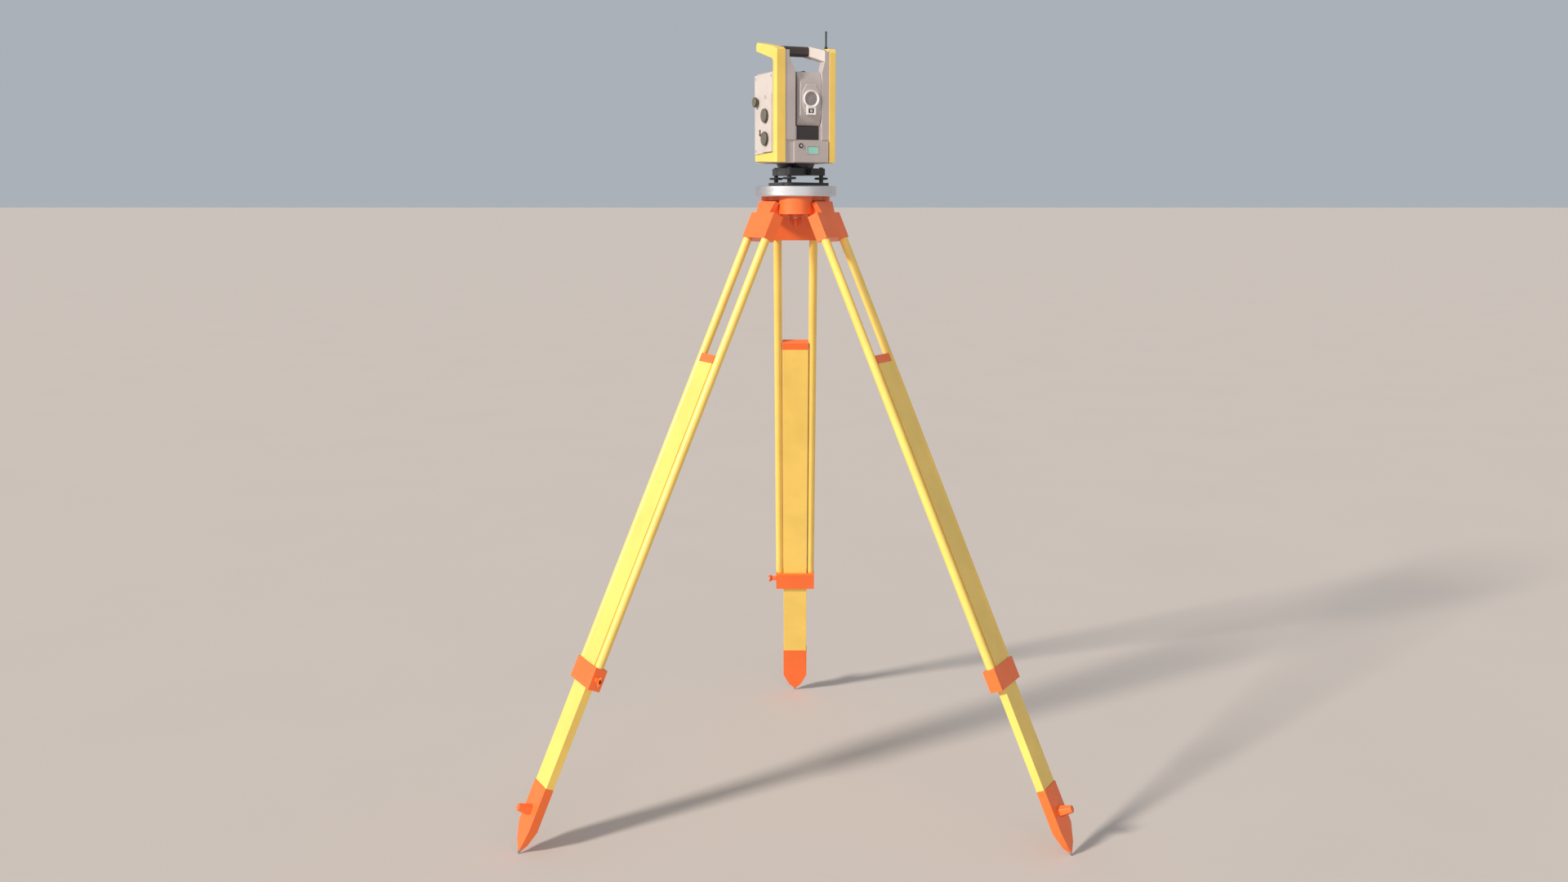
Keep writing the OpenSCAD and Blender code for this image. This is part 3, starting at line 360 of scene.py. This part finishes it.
def soften(thing, width):
    """Breaks sharp edges with a small rounded bevel."""
    thing.modifiers.new("smooth", "NODES").node_group = smoothing
    flat = thing.modifiers.new("flat", "DECIMATE")
    flat.decimate_type = "DISSOLVE"
    flat.angle_limit = math.radians(0.5)
    bevel = thing.modifiers.new("edge", "BEVEL")
    bevel.width = width
    bevel.segments = 2
    bevel.limit_method = "ANGLE"
    bevel.angle_limit = math.radians(35)
    normals = thing.modifiers.new("normals", "WEIGHTED_NORMAL")
    normals.keep_sharp = True


EDGE_WIDTH = 0.0006
EDGE_WIDTHS = {"antenna": 0.0003, "telescope_glass": 0.0002, "display_window": 0.0002,
               "level_vial": 0.0002, "handle_grip": 0.0012}

for name in nodes:
    soften(nodes[name], EDGE_WIDTHS.get(name, EDGE_WIDTH))

# ---- Building pieces ----

STATION = (Matrix.Translation((0.0, 0.0, PLATE_TOP)) @ Matrix.Rotation(STATION_TURN, 4, "Z")
           @ Matrix.Scale(MM, 4))
TO_FRONT = Matrix.Rotation(math.radians(90), 4, "X")     # a lathe's axis from +z to -y
TO_REAR = Matrix.Rotation(math.radians(-90), 4, "X")
TO_LEFT = Matrix.Rotation(math.radians(-90), 4, "Y")
TO_RIGHT = Matrix.Rotation(math.radians(90), 4, "Y")


class Piece:
    """A mesh built up from turned and extruded shapes, in millimetres of its own frame."""

    def __init__(self, frame_matrix):
        self.frame_matrix = frame_matrix
        self.mesh = bmesh.new()

    def _bridge(self, loops, closed=False):
        """Joins loops in order; a closed chain joins back to its start, an open one gets two ends."""
        count = len(loops[0])
        following = loops[1:] + loops[:1] if closed else loops[1:]
        for low_loop, high_loop in zip(loops, following):
            for i in range(count):
                j = (i + 1) % count
                self.mesh.faces.new((low_loop[i], low_loop[j], high_loop[j], high_loop[i]))
        if not closed:
            self.mesh.faces.new(loops[0][::-1])
            self.mesh.faces.new(loops[-1])

    def _ring(self, place, radius, height, depth, around):
        """One circle of points round the z axis of a place, every second one sunk by a rib's depth."""
        loop = []
        for step in range(around):
            turn = math.tau * step / around
            reach = radius - depth * (step % 2)
            spot = place @ Vector((reach * math.cos(turn), reach * math.sin(turn), height))
            loop.append(self.mesh.verts.new(spot))
        return loop

    def turned(self, place, rings, around=64):
        """Turns (radius, height, rib depth) rings about the z axis of a place."""
        self._bridge([self._ring(place, *ring, around) for ring in rings])

    def hoop(self, place, inner, outer, low, high, around=64, rib=0.0):
        """A flat ring round the z axis of a place, ribbed on the outside."""
        rings = ((inner, low, 0.0), (outer, low, rib), (outer, high, rib), (inner, high, 0.0))
        self._bridge([self._ring(place, *ring, around) for ring in rings], closed=True)

    def slab(self, place, outline, low, high, shrink=0.0):
        """Extrudes an outline of (x, y) points along z, its far side smaller by a margin."""
        middle = Vector((sum(x for x, y in outline), sum(y for x, y in outline))) / len(outline)
        loops = []
        for height, margin in ((low, 0.0), (high, shrink)):
            loop = []
            for x, y in outline:
                offset = Vector((x, y)) - middle
                pulled = middle + offset * (1.0 - margin / max(offset.length, margin + 0.01))
                loop.append(self.mesh.verts.new(place @ Vector((pulled.x, pulled.y, height))))
            loops.append(loop)
        self._bridge(loops)

    def done(self, name, body, finish, edge=0.0003, replaces=None):
        bmesh.ops.transform(self.mesh, matrix=self.frame_matrix, verts=self.mesh.verts)
        bmesh.ops.recalc_face_normals(self.mesh, faces=self.mesh.faces)
        data = bpy.data.meshes.new(name)
        self.mesh.to_mesh(data)
        self.mesh.free()
        data.materials.append(finish)
        thing = bpy.data.objects.new(name, data)
        bpy.context.scene.collection.objects.link(thing)
        soften(thing, edge)
        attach(thing, body)
        if replaces:
            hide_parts(replaces)
        return thing


def box_outline(low, high, corner):
    """Rounded rectangle between two corners."""
    left, right = low[0] + corner, high[0] - corner
    bottom, top = low[1] + corner, high[1] - corner
    points = []
    for quarter, (x, y) in enumerate(((right, top), (left, top), (left, bottom), (right, bottom))):
        for step in range(5):
            turn = math.radians(quarter * 90 + step * 22.5)
            points.append((x + corner * math.cos(turn), y + corner * math.sin(turn)))
    return points


# A slab's outline is drawn as (x, z) on the front, (-y, z) on the left, (y, z) on the right and
# (-x, z) on the rear.
FRONT_FACE = Matrix.Rotation(math.radians(90), 4, "X")
LEFT_FACE, RIGHT_FACE, REAR_FACE = (
    Matrix.Rotation(math.radians(turn), 4, "Z") @ FRONT_FACE for turn in (-90, 90, 180))

# ---- Telescope fittings ----

sight = Matrix.Translation((SIGHT_X, SCOPE_FRONT, TRUNNION_Z)) @ TO_FRONT

lens_piece = Piece(STATION)
lens_piece.turned(sight, [(16.6, -1.5, 0.0), (16.4, 0.6, 0.0), (13.0, 1.3, 0.0), (8.0, 1.8, 0.0),
                          (3.0, 2.0, 0.0)])
lens_piece.done("objective_lens", "telescope", lens, 0.0001)

barrel = Piece(STATION)
barrel.hoop(sight, 16.2, 17.1, -1.0, 3.0)
barrel.hoop(sight, 15.6, 16.6, -1.0, 1.6)
barrel.done("objective_barrel", "telescope", ring_paint, 0.0002)

face_outline = [(SIGHT_X - x, TRUNNION_Z + z) for x, z in FACE_CORNERS]
face_outline += [(SIGHT_X + x, TRUNNION_Z + z) for x, z in reversed(FACE_CORNERS)]
plate = Piece(STATION)
plate.slab(FRONT_FACE, face_outline, -SCOPE_FRONT - 0.5, -SCOPE_FRONT + 0.9, 1.0)
plate.done("telescope_face", "telescope", face_paint, 0.0003)

window = Piece(STATION)
window_z = TRUNNION_Z - WINDOW_DROP
half_w, half_h = WINDOW_SIZE[0] / 2, WINDOW_SIZE[1] / 2
window.slab(FRONT_FACE, box_outline((SIGHT_X - half_w, window_z - half_h),
                                    (SIGHT_X + half_w, window_z + half_h), 1.0),
            -SCOPE_FRONT - 0.8, -SCOPE_FRONT + 1.6)
window.done("sight_window", "telescope", hood, 0.0002)

window_spot = Matrix.Translation((SIGHT_X, SCOPE_FRONT, window_z)) @ TO_FRONT
eye = Piece(STATION)
eye.hoop(window_spot, 1.7, 3.0, 1.2, 2.2, 40)
eye.hoop(window_spot, 0.4, 0.9, 1.2, 2.0, 24)
eye.done("sight_ring", "telescope", ring_paint, 0.0001)

eyepiece = Piece(STATION)
rear_sight = Matrix.Translation((SIGHT_X, -SCOPE_FRONT, TRUNNION_Z)) @ TO_REAR
eyepiece.hoop(rear_sight, 9.8, 12.0, 2.0, 7.5, 72, 0.45)
eyepiece.hoop(rear_sight, 9.8, 10.9, 8.2, 12.8, 64)
eyepiece.hoop(rear_sight, 12.4, 17.5, -0.4, 1.2)
eyepiece.done("eyepiece_rings", "telescope", knob_rim, 0.0002)

finder = Piece(STATION)
finder_seat = Matrix.Translation((SIGHT_X, 0, TRUNNION_Z + SCOPE_TOP))
finder.slab(finder_seat, box_outline((-5.0, -26.0), (5.0, 22.0), 3.0), -0.5, 2.6, 1.2)
finder.slab(finder_seat, box_outline((-3.2, -22.0), (3.2, 18.0), 2.0), 2.0, 4.6, 1.0)
finder.done("sighting_rib", "telescope", grip, 0.0003)

# ---- Side knobs and panel fittings ----

for knob_name, (y, z, radius) in KNOBS.items():
    side = Matrix.Translation((KNOB_X, y, z)) @ TO_RIGHT
    turned_knob = Piece(STATION)
    turned_knob.turned(side, [(radius * 0.30, 0.9, 0.0), (radius - 3.4, 0.8, 0.0), (radius - 2.6, 0.2, 0.0),
                              (radius - 1.0, 0.0, 0.0), (radius - 0.1, 0.9, 0.5), (radius, 1.4, 0.6),
                              (radius, 4.8, 0.6), (radius - 0.6, 5.9, 0.3), (4.2, 6.0, 0.0),
                              (4.0, 12.0, 0.0)], 72)
    turned_knob.done(knob_name + "_turned", knob_name, knob, 0.0002, replaces=knob_name)
    rim = Piece(STATION)
    rim.hoop(side, radius - 0.5, radius + 0.25, 1.8, 4.4, 72, 0.5)
    rim.done(knob_name + "_rim", knob_name, knob_rim, 0.0001)

fittings = Piece(STATION)
mark_y, mark_z = PANEL_MARK
mark = Matrix.Translation((PANEL_PLATE_X, 0, 0)) @ LEFT_FACE
for half_y, half_z in ((0.5, 5.5), (1.8, 0.5)):
    fittings.slab(mark, box_outline((-mark_y - half_y, mark_z - half_z),
                                    (-mark_y + half_y, mark_z + half_z), 0.3), -0.3, 0.35)
lever_y, lever_z = PANEL_LEVER
lever = Matrix.Translation((PANEL_X, lever_y, lever_z)) @ TO_LEFT
fittings.turned(lever, [(3.2, -0.4, 0.0), (3.2, 2.0, 0.0), (2.4, 2.8, 0.0)], 32)
panel_skin = Matrix.Translation((PANEL_X, 0, 0)) @ LEFT_FACE
fittings.slab(panel_skin, box_outline((-lever_y - 1.4, lever_z), (-lever_y + 1.4, lever_z + 12.0), 1.2),
              0.6, 2.6, 0.4)
fittings.done("panel_lever", "station", knob_rim, 0.0002)

screws = Piece(STATION)
for screw_y, screw_z in PANEL_SCREWS:
    seat = Matrix.Translation((PANEL_X, screw_y, screw_z)) @ TO_LEFT
    screws.turned(seat, [(2.6, -0.3, 0.0), (2.5, 0.4, 0.0), (1.4, 0.45, 0.0), (1.3, -0.1, 0.0)], 24)
screws.done("panel_screws", "station", steel, 0.0001)

# ---- Front and rear controls ----

bezel = Piece(STATION)
low_x, high_x = DISPLAY_X
low_z, high_z = DISPLAY_Z
bars = (
    (low_x - BEZEL_W, low_z - BEZEL_W, high_x + BEZEL_W, low_z - BEZEL_GAP),
    (low_x - BEZEL_W, high_z + BEZEL_GAP, high_x + BEZEL_W, high_z + BEZEL_W),
    (low_x - BEZEL_W, low_z - BEZEL_LAP, low_x - BEZEL_GAP, high_z + BEZEL_LAP),
    (high_x + BEZEL_GAP, low_z - BEZEL_LAP, high_x + BEZEL_W, high_z + BEZEL_LAP),
)
for x0, z0, x1, z1 in bars:
    bezel.slab(FRONT_FACE, [(x0, z0), (x1, z0), (x1, z1), (x0, z1)], -KEYS_Y - 0.4, -KEYS_Y + 0.5)
bezel.done("display_bezel", "station", housing, 0.0002)

button_ring = Piece(STATION)
button_face = Matrix.Translation((BUTTON[0], KEYS_Y - BUTTON_PROUD, BUTTON[1])) @ TO_FRONT
button_ring.hoop(button_face, 1.0, 2.0, -0.7, 0.25, 32)
button_ring.done("button_ring", "power_button", ring_paint, 0.0001)

rear_panel = Piece(STATION)
rear_panel.slab(REAR_FACE, box_outline((-52.0, 58.0), (52.0, 99.0), 4.0), REAR_Y - 0.5, REAR_Y + 1.6, 1.0)
rear_panel.done("rear_control_panel", "station", hood, 0.0004)
rear_glass = Piece(STATION)
rear_glass.slab(REAR_FACE, box_outline((-46.0, 64.0), (2.0, 94.0), 1.5), REAR_Y + 1.0, REAR_Y + 2.1, 0.3)
rear_glass.done("rear_display", "station", display, 0.0002)
keys = Piece(STATION)
for column in range(KEY_COLUMNS):
    for row in range(KEY_ROWS):
        key_x, key_z = KEY_START[0] + column * KEY_PITCH, KEY_START[1] + row * KEY_PITCH
        keys.slab(REAR_FACE, box_outline((key_x, key_z), (key_x + KEY_SIZE[0], key_z + KEY_SIZE[1]), 1.8),
                  REAR_Y + 1.0, REAR_Y + 3.0, 0.7)
keys.done("rear_keys", "station", knob, 0.0003)

door_face = Matrix.Translation((DOOR_X, 0, 0)) @ RIGHT_FACE
door = Piece(STATION)
door.slab(door_face, box_outline((-36.0, 92.0), (46.0, 232.0), 5.0), -0.5, 2.2, 1.2)
door.done("battery_door", "station", panel, 0.0005)
latch = Piece(STATION)
latch.slab(door_face, box_outline((-4.0, 222.0), (14.0, 229.0), 2.5), 1.6, 3.6, 0.8)
for groove in range(LATCH_GROOVES):
    groove_y = -1.0 + groove * GROOVE_PITCH
    latch.slab(door_face, box_outline((groove_y, 223.4), (groove_y + GROOVE_W, 227.6), 0.6), 3.0, 4.2, 0.2)
latch.done("battery_latch", "station", knob_rim, 0.0002)

vents = Piece(STATION)
for rib in range(RIBS):
    rib_z = RIB_START + rib * RIB_PITCH
    vents.slab(REAR_FACE, box_outline((RIB_ENDS[0], rib_z), (RIB_ENDS[1], rib_z + RIB_H), 1.6),
               REAR_Y - 0.4, REAR_Y + 0.7, 0.3)
vents.done("rear_ribs", "station", housing, 0.0002)

sleeve = Piece(STATION)
sleeve.hoop(Matrix.Translation(ANTENNA_FOOT), 2.2, 3.7, -1.0, 6.0, 40, 0.25)
sleeve.done("antenna_sleeve", "station", black, 0.0001)

# ---- Levelling base fittings ----

for k in LEGS:
    screw = JOINTS["foot_screw_turn_%d" % k]["pos_m"]
    wheel = Matrix.Translation((screw[0] / MM, screw[1] / MM, WHEEL_Z))
    knurl = Piece(Matrix.Translation((0.0, 0.0, PLATE_TOP)) @ Matrix.Scale(MM, 4))
    knurl.hoop(wheel, WHEEL_R - 0.6, WHEEL_R + 0.35, 0.6, WHEEL_T - 0.6, 90, 0.5)
    knurl.hoop(wheel, 7.0, WHEEL_R - 3.0, -0.5, WHEEL_T + 0.5, 64)
    knurl.done("wheel_knurl_%d" % k, "foot_screw_%d" % k, black, 0.0001)

cup_low, cup_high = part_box("level_cup")
cup = Piece(Matrix.Scale(MM, 4))
cup_spot = Matrix.Translation(((cup_low[0] + cup_high[0]) / 2 / MM, (cup_low[1] + cup_high[1]) / 2 / MM,
                               cup_high[2] / MM))
cup.hoop(cup_spot, 6.9, 8.1, -0.4, 0.4, 48)
cup.hoop(cup_spot, 2.6, 2.9, -0.75, -0.45, 40)
cup.done("level_rings", "base", black, 0.0001)

# ---- Floor, light and camera ----

floor_mesh = bpy.data.meshes.new("floor")
corners = [(x * FLOOR_REACH, y * FLOOR_REACH, 0) for x, y in ((-1, -1), (1, -1), (1, 1), (-1, 1))]
floor_mesh.from_pydata(corners, [], [(0, 1, 2, 3)])
floor = bpy.data.objects.new("floor", floor_mesh)
bpy.context.scene.collection.objects.link(floor)
floor_shader = Shader("floor_paint", 0.9)
floor_tone = floor_shader.noise(1.5, 3.0)
floor_shader.colour(floor_shader.blend(floor_tone, scaled(FLOOR, 0.97), scaled(FLOOR, 1.02)))
floor_mesh.materials.append(floor_shader.material)

world = bpy.data.worlds.new("studio")
bpy.context.scene.world = world
world.use_nodes = True
world.node_tree.nodes["Background"].inputs["Color"].default_value = BACKDROP
world.node_tree.nodes["Background"].inputs["Strength"].default_value = WORLD_STRENGTH


def add_sun(name, azimuth, elevation, strength, spread, colour):
    """A soft distant light; azimuth 0 shines along +Y and 90 along -X."""
    light = bpy.data.lights.new(name, "SUN")
    light.energy = strength
    light.angle = math.radians(spread)
    light.color = colour
    lamp = bpy.data.objects.new(name, light)
    lamp.rotation_euler = (math.radians(90 - elevation), 0.0, math.radians(azimuth))
    bpy.context.scene.collection.objects.link(lamp)


add_sun("key", -52.0, 27.0, 3.8, 8.0, (1.0, 0.96, 0.9))
add_sun("fill", 6.0, 8.0, 0.85, 70.0, (1.0, 0.97, 0.94))

lens_data = bpy.data.cameras.new("camera")
lens_data.sensor_width = 36.0
lens_data.lens = FOCAL_LENGTH
lens_data.clip_start = 0.01
lens_data.clip_end = 2000.0
camera = bpy.data.objects.new("camera", lens_data)
camera.location = CAMERA_PLACE
camera.rotation_euler = (math.radians(90 - CAMERA_DOWN), 0.0, math.radians(CAMERA_LEFT))
bpy.context.scene.collection.objects.link(camera)
bpy.context.scene.camera = camera
bpy.context.scene.view_settings.view_transform = "Standard"
